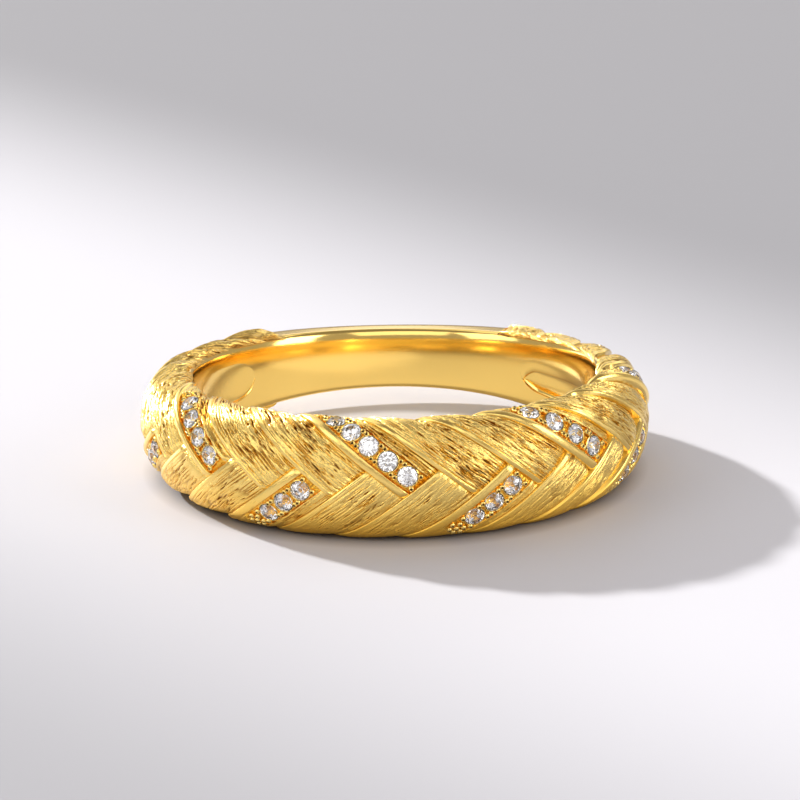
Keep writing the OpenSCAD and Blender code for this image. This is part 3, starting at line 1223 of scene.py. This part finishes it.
    def darkness(self, at: Places, lines: np.ndarray) -> np.ndarray:
        """Painted shade: how dark the gold is painted in the brushed grooves (less at the right back), in the
        crevice behind a plait and on the left-back slopes.

        Args:
            at: Places on the plait.
            lines: Height of the brushed lines.

        Returns:
            The share of painted shade at each place.
        """
        painted_shade = np.clip((-lines - self.painted_shade_from) / (self.painted_shade_full - self.painted_shade_from), 0, 1)
        painted_shade = painted_shade * (1 - self.back_pale * rise(at.theta, *self.pale_turn))
        seam = rise(at.across, self.shape.plait_w - self.seam_w, self.seam_w)
        slope = rise(at.across / self.shape.plait_w, *self.left_dark_turn)
        return np.maximum.reduce([painted_shade, seam, self.left_dark * (slope * rise(-at.theta, *self.left_turn))])

    def slump(self, at: Places) -> np.ndarray:
        """How a plait's face dives under the next plait and bulges on the way.

        Args:
            at: Places on the plait.

        Returns:
            The change of the face's height.
        """
        past = np.clip((at.across - self.bevel_w) / (self.shape.plait_w - self.bevel_w), 0, None)
        side, left = rise(np.abs(at.theta), *self.side_turn), rise(-at.theta, *self.left_turn)
        dive = -(self.dive_front + (self.dive_side - self.dive_front) * side) * past ** self.dive_power
        dive *= 1 + self.left_dive * left
        if at.row is Row.LOWER:
            dive *= 1 + self.right_dive * rise(at.theta, *self.right_turn)
        bulge = self.bulge_front + (self.bulge_side - self.bulge_front) * side + self.left_bulge * left
        dive += bulge * np.clip(4 * past * (1 - past), 0, None)
        return dive * (1 - self.back_calm * rise(at.theta, *self.back_turn))

    def floored(self, face: np.ndarray, setting: Setting, at: Places) -> np.ndarray:
        """Sinks the floor of the stones into a set plait.

        Args:
            face: Height of the plait's face.
            setting: Its stones.
            at: Places on the plait.

        Returns:
            The height with the floor, the seats in it and the rim beside it.
        """
        sides = rise(at.across, self.bevel_w, self.step_w) * ramp((self.floor_end - at.across) / self.step_w)
        share = sides * ramp((setting.floor_end - at.along) / self.floor_slope)
        off_rim = (at.across - self.floor_end - self.rim_w) / self.rim_w
        face = face + self.rim_rise * np.exp(-off_rim ** 2)
        sunk = -self.floor_h + 0 * at.across
        for spot in setting.spots:
            near = np.hypot(at.along - spot, at.across - self.stone_across)
            seat = np.minimum(sunk, -self.floor_h - self.seat_h - (self.seat_r - near))
            sunk = np.where(near < self.seat_r, seat, sunk)
        return face + (sunk - face) * share

    def height(self, at: Places, lines: np.ndarray) -> np.ndarray:
        """Height of a plait over the bare band.

        Args:
            at: Places on the plait.
            lines: Height of the brushed lines.

        Returns:
            The height at each place.
        """
        setting, bevel_w = self.setting(at.strand), self.bevel_of(at.strand)
        face = self.crown_h + self.slump(at) + lines
        face -= self.crease_h * np.exp(-((at.across - bevel_w - self.crease_w) / self.crease_w) ** 2)
        if setting:
            face = self.floored(face, setting, at)
        bevel = np.clip(at.across / bevel_w, 0, 1)
        lift = self.set_bulge + self.set_lift * rise(np.abs(at.theta), *self.lift_turn)
        roll = lift if setting else self.plain_bulge
        face += 4 * roll * bevel * (1 - bevel) - self.bevel_fall * (1 - bevel)
        face -= self.edge_fall * np.clip(1 - at.across / self.edge_w, 0, 1) ** 2
        turn = 2 * math.radians(self.shape.plait_slope)
        to_end = at.along * math.sin(turn) + at.across * math.cos(turn)
        face -= self.roll_h * np.clip(1 - to_end / self.roll_w, 0, self.roll_limit) ** 2
        return self.ended(face, at)

    def ended(self, face: np.ndarray, at: Places) -> np.ndarray:
        """Lets the face dip into the body at the rim and raises it toward the braid's two ends.

        Args:
            face: Height of the plait's face.
            at: Places on the plait.

        Returns:
            The height at each place.
        """
        phi, rim_phi = np.abs(at.phi), self.rim_of(at.row)
        calm = 1 - self.rim_calm * rise(phi, self.calm_from, rim_phi - self.calm_from)
        inside = np.minimum(at.theta + self.shape.braid_left, self.shape.braid_right - at.theta)
        step = self.end_step * (1 - ramp(inside * self.shape.mm_per_deg / self.step_l))
        left = ramp((at.theta + self.shape.braid_left) * self.shape.mm_per_deg / self.left_run)
        return (face * calm + step) * left - self.sole_h * rise(phi, rim_phi, self.rim_fall)

    def points(self, at: Places, height: np.ndarray) -> np.ndarray:
        """Points at a height over the bare band.

        Args:
            at: Places on the plait.
            height: Height at each place.

        Returns:
            The points in metres, by row and column.
        """
        r, z, out_r, out_z = self.shape.section(at.theta, at.phi)
        return self.shape.place(at.theta, r + height * out_r, z + height * out_z)

    def blank(self) -> bpy.types.Object:
        """One flat grid with a wall round it and a sole: every plait is a shaped copy of it.

        Returns:
            The blank, which goes once the copies are made.
        """
        deselect()
        across, along = len(self.columns) - 1, len(self.rows) - 1
        bpy.ops.mesh.primitive_grid_add(x_subdivisions=across, y_subdivisions=along, size=2)
        blank = bpy.context.object
        bpy.ops.object.mode_set(mode="EDIT")
        bpy.ops.mesh.select_mode(type="EDGE")
        bpy.ops.mesh.select_all(action="DESELECT")
        bpy.ops.mesh.select_non_manifold()
        bpy.ops.mesh.extrude_edges_move(TRANSFORM_OT_translate={"value": (0, 0, -self.blank_h)})
        bpy.ops.mesh.fill()
        bpy.ops.object.mode_set(mode="OBJECT")
        return blank

    def build(self) -> list[bpy.types.Object]:
        """Copies the blank for each strand, then shapes, paints and trims the copies.

        Returns:
            The plaits in their order.
        """
        blank = self.blank()
        skins = [finish.material() for finish in (SATIN, BRUSHED, FLOOR_GOLD)]
        pieces = []
        for number, strand in enumerate(self.strands(), start=1):
            piece = duplicate(blank, f"plait_{self.row_of(strand).name.lower()}_{number}")
            lay = self.shaped(piece, strand)
            for skin in skins:
                piece.data.materials.append(skin)
            self.paint(piece, strand, lay)
            self.trim(piece)
            smooth(piece, self.sharp)
            ride_as(piece)
            pieces.append(piece)
        bpy.data.objects.remove(blank)
        return pieces

    def shaped(self, piece: bpy.types.Object, strand: int) -> np.ndarray:
        """Moves the points of a copied blank onto a plait and stores its painted shade and its lay.

        Args:
            piece: The copied blank.
            strand: Number of the strand.

        Returns:
            Distance along and across the plait for each point, and a number of the plait's own.
        """
        flat = points_of(piece.data)
        column = np.rint((flat[:, 0] + 1) / 2 * (len(self.columns) - 1)).astype(int)
        row = np.rint((flat[:, 1] + 1) / 2 * (len(self.rows) - 1)).astype(int)
        at = self.places(strand)
        lines = self.brushed(at)
        height = self.height(at, lines)
        sole = np.minimum(height - self.least_t, -self.sole_h) - self.sole_drop
        face_points, sole_points = self.points(at, height), self.points(at, sole)
        sunk = flat[:, 2:] < -self.blank_h / 2
        set_points(piece.data, np.where(sunk, sole_points[row, column], face_points[row, column]))
        painted_shade = self.darkness(at, lines)[row, column]
        piece.data.attributes.new("painted_shade", "FLOAT", "POINT").data.foreach_set("value", painted_shade)
        own = 0 * row + strand * self.lay_shift
        lay = np.stack([at.along[row, column], at.across[row, column], own], axis=-1)
        stored = piece.data.attributes.new("lay", "FLOAT_VECTOR", "POINT")
        stored.data.foreach_set("vector", lay.reshape(-1))
        return lay

    def paint(self, piece: bpy.types.Object, strand: int, lay: np.ndarray) -> None:
        """Gives each face of a plait the slot of its finish.

        Args:
            piece: The plait.
            strand: Number of the strand.
            lay: Distance along and across the plait for each point.
        """
        setting = self.setting(strand)
        for face in piece.data.polygons:
            along, across, _ = lay[list(face.vertices)].mean(0)
            floor = setting and self.bevel_w < across < self.floor_end and along < setting.floor_end
            skin = Skin.FLOOR if floor else Skin.BEVEL if across < self.bevel_of(strand) else Skin.FACE
            face.material_index = skin.value

    def trim(self, piece: bpy.types.Object) -> None:
        """Cuts a plait off at an end of the braid, if it runs past one.

        Args:
            piece: The plait.
        """
        for end, side in ((-self.shape.braid_left, -1), (self.shape.braid_right, 1)):
            points = points_of(piece.data)
            theta = np.degrees(np.arctan2(points[:, 0], -points[:, 1]))
            over_the_back = (theta * side < 0) & (np.abs(theta) > 90)
            theta = np.where(over_the_back, theta + 360 * side, theta)
            if (theta * side > abs(end)).any() and abs(np.median(theta) - end) < self.trim_reach:
                turn = math.radians(end)
                only(piece)
                bpy.ops.object.mode_set(mode="EDIT")
                bpy.ops.mesh.select_all(action="SELECT")
                bpy.ops.mesh.bisect(
                    plane_co=(0, 0, 0), plane_no=(side * math.cos(turn), side * math.sin(turn), 0),
                    use_fill=True, clear_outer=True)
                bpy.ops.object.mode_set(mode="OBJECT")


@dataclass(frozen=True)
class BrilliantCut:
    """A round brilliant cut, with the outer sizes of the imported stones."""

    stone_d: float = 0.82
    table_d: float = 0.46
    star_d: float = 0.656
    crown_h: float = 0.13
    star_h: float = 0.077
    girdle_h: float = 0.03
    pavilion_h: float = 0.34
    keel_d: float = 0.19
    keel_h: float = 0.268
    culet_d: float = 0.02
    main_facets: int = 8

    def rings(self) -> list[tuple[float, float, int, float]]:
        """Diameter, height, number of corners and turn of each ring of corners.

        Returns:
            The rings from the table down to the culet.
        """
        half, top = self.girdle_h / 2, self.girdle_h / 2 + self.crown_h
        n = self.main_facets
        return [
            (self.table_d, top, n, 0.0),
            (self.star_d, half + self.star_h, n, 0.5),
            (self.stone_d, half, 2 * n, 0.0),
            (self.stone_d, -half, 2 * n, 0.0),
            (self.keel_d, -half - self.keel_h, n, 0.5),
            (self.culet_d, -half - self.pavilion_h, n, 0.0),
        ]

    def build(self) -> bpy.types.Object:
        """Wraps the rings of corners in their hull, in millimetres, and leaves the facets flat.

        Returns:
            The stone.
        """
        deselect()
        for number, (diameter, height, corners, turn) in enumerate(self.rings()):
            bpy.ops.mesh.primitive_circle_add(
                vertices=corners, radius=diameter / 2, location=(0, 0, height if number else 0),
                rotation=(0, 0, 2 * math.pi * turn / corners))
            if number == 0:
                stone = bpy.context.object
                points = points_of(stone.data)
                points[:, 2] = height
                set_points(stone.data, points)
                bpy.ops.object.mode_set(mode="EDIT")
        bpy.ops.mesh.select_all(action="SELECT")
        bpy.ops.mesh.convex_hull()
        bpy.ops.mesh.normals_make_consistent(inside=False)
        bpy.ops.object.mode_set(mode="OBJECT")
        bpy.ops.object.shade_flat()
        return stone


@dataclass
class StoneSettings:
    """Stones with their cups and the beads that hold them."""

    braid: Braid
    cut: BrilliantCut
    cup_sides: int = 32
    rim_profile: tuple[Pair, ...] = (
        (0.015, -0.03), (0.02, 0.0), (0.035, 0.012), (0.06, 0.0), (0.07, -0.04), (0.05, -0.12))
    well_r: float = 0.1
    well_depth: float = 0.52
    core_r: float = 0.03
    core_depth: float = 0.4
    cup_sharp: float = 35.0
    bead_r: float = 0.13
    bead_rise: float = 0.055
    bead_sharp: float = 60.0
    pit_r: float = 0.06
    pit_depth: float = 0.09
    pit_off: float = 0.02
    bead_out: float = 0.34
    bead_apart: float = 0.1
    end_gap: float = 0.43
    end_out: float = 0.32
    tail_step: float = 0.27
    tail_sides: tuple[tuple[float, ...], ...] = ((-0.13, 0.2), (-0.32, 0.02, 0.36))

    def frame_at(self, strand: int, along: float, across: float) -> tuple[np.ndarray, np.ndarray]:
        """A place on a plait in metres, and the axes there as rows: along, over and outward.

        Args:
            strand: Number of the strand.
            along: Distance along the plait.
            across: Distance across the plait.

        Returns:
            The place and the three axes.
        """
        shape = self.braid.shape
        theta, arc = (np.array([value]) for value in self.braid.angle_and_arc(strand, along, across))
        r, z, out_r, out_z = shape.section(theta, shape.phi_of(arc))
        middle = shape.place(theta, r, z)[0]
        normal = shape.place(theta, out_r, out_z)[0] / MM
        turn = math.radians(theta[0])
        way = np.array([math.cos(turn), math.sin(turn), 0])
        return middle, np.stack([way, np.cross(normal, way), normal])

    def placed(self, model: bpy.types.Object, name: str, strand: int, along: float, across: float,
               height: float) -> bpy.types.Object:
        """A copy of a model in millimetres, set on a plait at a height.

        Args:
            model: The model.
            name: Name of the copy.
            strand: Number of the strand.
            along: Distance along the plait.
            across: Distance across the plait.
            height: Height over the bare band.

        Returns:
            The copy, in metres.
        """
        piece = duplicate(model, name)
        middle, axes = self.frame_at(strand, along, across)
        points = points_of(piece.data) + np.array([0, 0, height])
        set_points(piece.data, middle + points @ axes * MM)
        return piece

    def cup_model(self) -> bpy.types.Object:
        """The cup under a stone, with the bright-cut rim round it, as a turned skin.

        Returns:
            The cup, in millimetres.
        """
        rim = [(self.cut.stone_d / 2 + out, up) for out, up in self.rim_profile]
        well = [(self.well_r, -self.well_depth), (self.core_r, -self.well_depth),
                (self.core_r, -self.core_depth)]
        radius, height = np.array(rim + well).T
        turn = np.linspace(0, 2 * math.pi, self.cup_sides, endpoint=False)[:, None]
        points = np.stack([np.cos(turn) * radius, np.sin(turn) * radius, height + 0 * turn], axis=-1)
        cup = rolled("cup_model", points * MM)
        set_points(cup.data, points_of(cup.data) / MM)
        smooth(cup, self.cup_sharp)
        return cup

    def bead_model(self) -> bpy.types.Object:
        """One round bead with the pit of its tool, the pit painted dark as shade, in millimetres.

        Returns:
            The bead.
        """
        deselect()
        bpy.ops.mesh.primitive_ico_sphere_add(subdivisions=3, radius=self.bead_r)
        bead = bpy.context.object
        points = points_of(bead.data)
        off = np.hypot(points[:, 0], points[:, 1] + self.pit_off)
        pit = self.pit_depth * np.clip(1 - (off / self.pit_r) ** 2, 0, 1)
        points[:, 2] -= np.where(points[:, 2] > 0, pit, 0)
        set_points(bead.data, points)
        # Painted shade: the pit is dark.
        dark = np.where((off < self.pit_r) & (points[:, 2] > 0), 1.0, 0.0)
        bead.data.attributes.new("painted_shade", "FLOAT", "POINT").data.foreach_set("value", dark)
        smooth(bead, self.bead_sharp)
        return bead

    def bead_places(self, setting: Setting) -> list[Pair]:
        """Places of a group's beads: between the stones, at their two ends and on the tail.

        Args:
            setting: The stones of the group.

        Returns:
            Distance of each bead along the plait and from the line of stones.
        """
        gaps = [spot + setting.pitch / 2 for spot in setting.spots[:-1]]
        places = [(gap + step, side * self.bead_out) for gap in gaps for side in (-1, 1)
                  for step in (-self.bead_apart, self.bead_apart)]
        ends = [setting.spots[0] - self.end_gap, setting.spots[-1] + self.end_gap]
        places += [(end, side * self.end_out) for end in ends for side in (-1, 1)]
        tail = np.arange(setting.spots[-1] + self.end_gap + self.tail_step, setting.floor_end, self.tail_step)
        for number, along in enumerate(tail):
            places += [(along, side) for side in self.tail_sides[number % 2]]
        return places

    def build(self) -> list[bpy.types.Object]:
        """Builds each group's stones, cups and beads.

        Returns:
            The pieces, group by group.
        """
        stone, cup, bead = self.cut.build(), self.cup_model(), self.bead_model()
        clear, polished, shiny = StoneFinish().material(), POLISHED.material(), BEAD_GOLD.material()
        across, sunk = self.braid.stone_across, -self.braid.stone_sink
        up = self.bead_rise - self.bead_r
        pieces = []
        for setting in self.braid.settings:
            strand, cups = setting.strand, []
            for number, along in enumerate(setting.spots, start=1):
                node = f"stone_{setting.name}_{number}"
                gem = self.placed(stone, f"brilliant_{setting.name}_{number}", strand, along, across, sunk)
                gem.data.materials.append(clear)
                ride_as(gem)
                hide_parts(node)
                pieces.append(gem)
                cups.append(self.placed(cup, "cup", strand, along, across, sunk))
            beads = [self.placed(bead, "bead", strand, along, across + side, up)
                     for along, side in self.bead_places(setting)]
            for piece, finish in ((joined(f"cups_{setting.name}", cups), polished),
                                  (joined(f"beads_{setting.name}", beads), shiny)):
                piece.data.materials.append(finish)
                ride_as(piece)
                pieces.append(piece)
        for model in (stone, cup, bead):
            bpy.data.objects.remove(model)
        return pieces


def toward(azimuth: float, elevation: float) -> Vector:
    """The way from the ring to a light, with azimuths from the front toward +X."""
    turn, tilt = math.radians(azimuth), math.radians(elevation)
    return Vector((math.sin(turn) * math.cos(tilt), -math.cos(turn) * math.cos(tilt), math.sin(tilt)))


def lamp(name: str, light: bpy.types.Light, way: Vector) -> bpy.types.Object:
    """Adds a light.

    Args:
        name: Name of its object.
        light: The light.
        way: The way from the ring to it.

    Returns:
        The object, turned to the ring.
    """
    made = bpy.data.objects.new(name, light)
    bpy.context.scene.collection.objects.link(made)
    made.rotation_euler = way.to_track_quat("Z", "Y").to_euler()
    return made


@dataclass(frozen=True)
class Softbox:
    """One soft light: where it stands, its size and how bright it is."""

    name: str
    azimuth: float
    elevation: float
    size: Pair
    watts: float
    distance: float = 0.5

    def build(self) -> None:
        """Adds the light, turned to the ring."""
        light = bpy.data.lights.new(self.name, "AREA")
        light.shape = "RECTANGLE"
        light.size, light.size_y = self.size
        light.energy = self.watts
        way = toward(self.azimuth, self.elevation)
        lamp(self.name, light, way).location = way * self.distance


@dataclass
class Studio:
    """Camera, floor and lights. Azimuths are seen from above, from the front toward +X."""

    elevation: float = 16.41
    distance: float = 0.143127
    lens: float = 147.42
    sensor: float = 36.0
    roll: float = -0.66
    shift: Pair = (0.00668, 0.01491)
    clip: Pair = (0.005, 10.0)
    floor_size: float = 1.6
    floor_tilt: float = 1.1
    floor_tone: Colour = (0.572, 0.562, 0.592)
    floor_roughness: float = 0.6
    # Painted light: the floor's colour is darker beyond the two soft edges of a beam.
    beam_back: Triple = (39.3, 0.040, 0.007)
    beam_front: Triple = (46.0, -0.0362, -0.0048)
    back_tone: float = 0.43
    front_tone: float = 0.535
    # Painted light: inside the ring the floor glows (emission) and its colour is dimmed, so the inner wall
    # and hollows reflect a brighter floor.
    glow_tone: float = 0.7
    glow: Pair = (0.18, 0.56)
    glow_colour: Colour = (1.0, 0.93, 0.86)
    glow_middle: Triple = (0.0, -0.0006, -0.0023)
    glow_reach: Pair = (0.0076, 0.0086)
    # Painted contact shadow: the floor is darkened in a narrow ring along the band's outer edge, toward the
    # front.
    contact_reach: float = 0.012
    contact_ahead: Pair = (0.003, -0.001)
    contact_tones: tuple[Pair, ...] = (
        (0.0087, 0.0), (0.0094, 0.64), (0.0098, 0.64), (0.0111, 0.0))
    horizon: float = 0.44
    zenith: float = 0.28
    sky_bend: Pair = (0.6, 0.95)
    sky_colour: Colour = (1.0, 0.94, 0.93)
    sun_azimuth: float = 229.0
    sun_elevation: float = 27.0
    sun_angle: float = 3.2
    sun_strength: float = 5.6
    boxes: tuple[Softbox, ...] = (
        Softbox("halo_box", azimuth=229, elevation=46, size=(0.5, 0.4), watts=0.5),
        Softbox("ridge_box", azimuth=132, elevation=42, size=(0.3, 0.3), watts=0.3),
        Softbox("left_box", azimuth=-62, elevation=24, size=(0.3, 0.3), watts=0.5),
        Softbox("front_box", azimuth=-5, elevation=37, size=(0.5, 0.36), watts=0.6),
        Softbox("right_box", azimuth=62, elevation=20, size=(0.22, 0.3), watts=0.87),
        Softbox("back_box", azimuth=180, elevation=22, size=(0.8, 0.15), watts=0.35),
    )

    def camera(self) -> None:
        """Sets the camera at the photograph's viewing angle."""
        tilt, roll = math.radians(self.elevation), math.radians(self.roll)
        right = Vector((1, 0, 0))
        up = Vector((0, math.sin(tilt), math.cos(tilt)))
        back = Vector((0, -math.cos(tilt), math.sin(tilt)))
        turned_right = right * math.cos(roll) + up * math.sin(roll)
        turned_up = up * math.cos(roll) - right * math.sin(roll)
        data = bpy.data.cameras.new("camera")
        data.lens = self.lens
        data.sensor_width = self.sensor
        data.shift_x, data.shift_y = self.shift
        data.clip_start, data.clip_end = self.clip
        camera = bpy.data.objects.new("camera", data)
        bpy.context.scene.collection.objects.link(camera)
        camera.matrix_world = Matrix.Translation(back * self.distance) @ Matrix(
            (turned_right, turned_up, back)).transposed().to_4x4()
        bpy.context.scene.camera = camera

    def floor(self, low: float, front: float) -> None:
        """Lays the pale floor under the ring.

        Args:
            low: Height of the ring's lowest line, in metres.
            front: Y of that line, at the ring's front.
        """
        deselect()
        bpy.ops.mesh.primitive_plane_add(size=self.floor_size)
        floor = bpy.context.object
        points = points_of(floor.data)
        points[:, 2] = low + (points[:, 1] - front) * math.tan(math.radians(self.floor_tilt))
        set_points(floor.data, points)
        floor.name = floor.data.name = "studio_floor"
        floor.data.materials.append(self.card())
        floor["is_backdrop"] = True

    def card(self) -> bpy.types.Material:
        """Builds the floor's material, with a painted beam of light, a painted glow inside the ring and a
        painted contact shadow along the band.

        Returns:
            The new material.
        """
        made = bpy.data.materials.new("pale_card")
        graph = Graph.of(made)
        shader = graph.nodes["Principled BSDF"]
        shader.inputs["Roughness"].default_value = self.floor_roughness
        place = graph.place()
        # Painted beam of light on the floor.
        back = self.beam_edge(graph, place, self.beam_back, self.back_tone)
        front = self.beam_edge(graph, place, self.beam_front, self.front_tone)
        # Painted glow inside the ring: the floor's colour is dimmed and it emits light, more toward the back.
        away = graph.vector("DISTANCE", "Value", place, self.glow_middle)
        inside = graph.span(away, self.glow_reach, (1, 0), smooth=True)
        calm = graph.span(inside, (0, 1), (1, self.glow_tone))
        beam = graph.number("MULTIPLY", graph.number("MULTIPLY", back, front), calm)
        # Painted contact shadow along the band.
        shade = graph.number("MULTIPLY", beam, self.contact(graph, place))
        depth = (-self.glow_reach[0], self.glow_reach[0])
        painted_glow = graph.number("MULTIPLY", inside, graph.span(graph.part(place, "Y"), depth, self.glow))
        shader.inputs["Emission Color"].default_value = (*self.glow_colour, 1)
        graph.links.new(painted_glow, shader.inputs["Emission Strength"])
        tone = graph.vector("MULTIPLY", "Vector", self.floor_tone, shade)
        graph.links.new(tone, shader.inputs["Base Color"])
        return made

    def contact(self, graph: Graph, place: Socket) -> Socket:
        """Adds the painted contact shadow where the band meets the floor, by the distance from the ring's
        axis.

        Args:
            graph: The material's graph.
            place: Socket with the place on the floor.

        Returns:
            Socket with the share of the floor's tone.
        """
        level = graph.vector("MULTIPLY", "Vector", place, (1, 1, 0))
        away = graph.span(graph.vector("LENGTH", "Value", level), (0, self.contact_reach))
        stops = [(distance / self.contact_reach, (tone,) * 3) for distance, tone in self.contact_tones]
        ahead = graph.span(graph.part(place, "Y"), self.contact_ahead, smooth=True)
        dark = graph.number("MULTIPLY", graph.tones(away, stops), ahead)
        return graph.number("SUBTRACT", 1, dark)

    @staticmethod
    def beam_edge(graph: Graph, place: Socket, edge: Triple, dark: float) -> Socket:
        """Adds the soft edge of the painted light beam on the floor.

        Args:
            graph: The material's graph.
            place: Socket with the place on the floor.
            edge: Angle of the way across the beam from +X, and where the dark and the lit side start.
            dark: Share of the floor's tone on the dark side.

        Returns:
            Socket with the share of the floor's tone.
        """
        turn = math.radians(edge[0])
        across = graph.vector("DOT_PRODUCT", "Value", place, (math.cos(turn), math.sin(turn), 0))
        return graph.span(across, edge[1:], (dark, 1), smooth=True)

    def lights(self) -> None:
        """Adds the key light, the soft boxes and the sky."""
        key = bpy.data.lights.new("key", "SUN")
        key.energy = self.sun_strength
        key.angle = math.radians(self.sun_angle)
        lamp("key", key, toward(self.sun_azimuth, self.sun_elevation))
        for box in self.boxes:
            box.build()
        world = bpy.data.worlds.new("studio")
        bpy.context.scene.world = world
        graph = Graph.of(world)
        height = graph.part(graph.place("Generated"), "Z")
        strength = graph.span(height, self.sky_bend, (self.horizon, self.zenith), smooth=True)
        sky = graph.nodes["Background"]
        sky.inputs["Color"].default_value = (*self.sky_colour, 1)
        graph.links.new(strength, sky.inputs["Strength"])
        bpy.context.scene.view_settings.view_transform = "Standard"


def plain(bounds: tuple) -> list[list[float]]:
    """Two corners as plain lists of numbers."""
    return [[float(value) for value in corner] for corner in bounds]


def main() -> None:
    """Builds the ring and its studio, and logs each piece's face count."""
    logging.basicConfig(level=logging.INFO, format="%(name)s: %(message)s")
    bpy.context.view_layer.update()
    shape = BandShape()
    made = PolishedBody(shape).build()
    ride_as(made)
    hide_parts("band")
    braid = Braid(shape, SETTINGS)
    pieces = [made, *braid.build(), *StoneSettings(braid, BrilliantCut()).build()]
    for piece in pieces:
        LOG.info("%s: %d faces", piece.name, len(piece.data.polygons))
    studio = Studio()
    studio.camera()
    low = plain(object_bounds())[0][2]
    studio.floor(low, -(shape.bore_r + shape.edge_depth) * MM)
    studio.lights()


if __name__ == "__main__":
    main()
